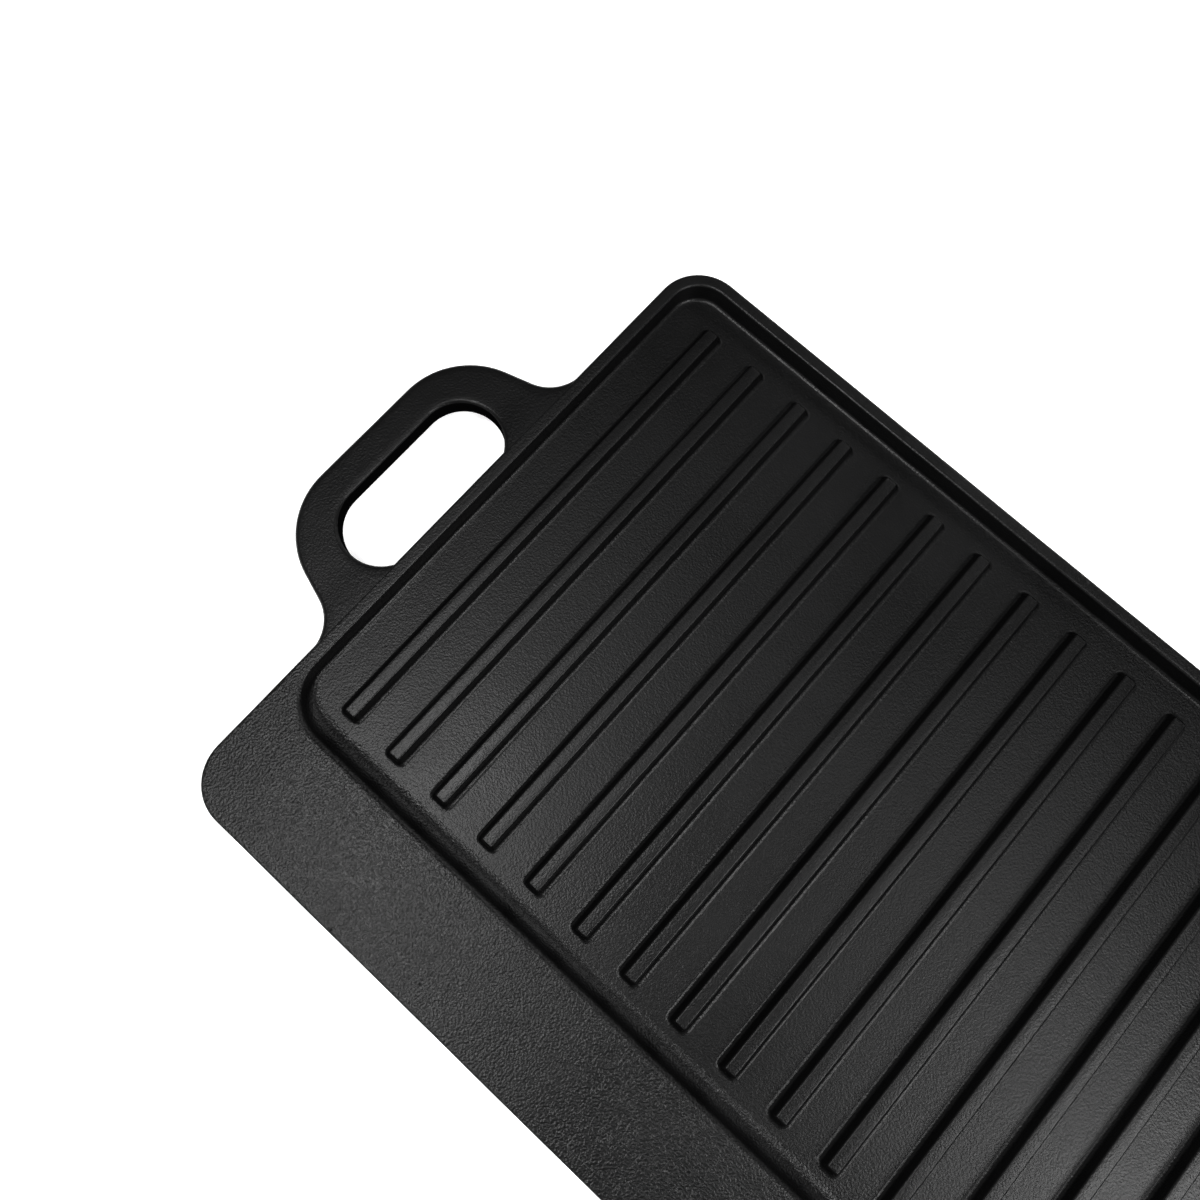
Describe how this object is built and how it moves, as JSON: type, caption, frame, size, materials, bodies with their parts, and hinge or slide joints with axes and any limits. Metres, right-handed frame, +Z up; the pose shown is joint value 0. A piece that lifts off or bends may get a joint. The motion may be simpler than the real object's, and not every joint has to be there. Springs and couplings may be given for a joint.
{
  "type": "griddle plate",
  "caption": "Rectangular black cast-iron griddle plate with parallel grill ribs in a sunk tray, a wide smooth ledge along one long side and a loop handle at each short end.",
  "frame": {"origin": "middle of the resting face, under the plate's centre", "axes": "+X along the plate's length towards its right handle, +Y from the ledge to the back rim, +Z up out of the ribbed tray"},
  "size_m": [0.4364, 0.23, 0.0165],
  "materials": {
    "seasoned_iron": "black seasoned cast iron, satin, with a fine orange-peel casting texture"
  },
  "bodies": {
    "root": {"floor_plate": "seasoned_iron", "back_rim": "seasoned_iron", "left_rim": "seasoned_iron", "right_rim": "seasoned_iron", "tray_front_wall": "seasoned_iron", "back_left_corner": "seasoned_iron", "back_right_corner": "seasoned_iron", "tray_left_corner": "seasoned_iron", "tray_right_corner": "seasoned_iron", "front_ledge": "seasoned_iron", "front_rim": "seasoned_iron", "front_left_corner": "seasoned_iron", "front_right_corner": "seasoned_iron", "left_handle": "seasoned_iron", "right_handle": "seasoned_iron", "rib_01": "seasoned_iron", "rib_02": "seasoned_iron", "rib_03": "seasoned_iron", "rib_04": "seasoned_iron", "rib_05": "seasoned_iron", "rib_06": "seasoned_iron", "rib_07": "seasoned_iron", "rib_08": "seasoned_iron", "rib_09": "seasoned_iron", "rib_10": "seasoned_iron", "rib_11": "seasoned_iron", "rib_12": "seasoned_iron", "rib_13": "seasoned_iron", "rib_14": "seasoned_iron", "rib_15": "seasoned_iron", "rib_16": "seasoned_iron", "rib_17": "seasoned_iron", "rib_18": "seasoned_iron"}
  },
  "joints": []
}
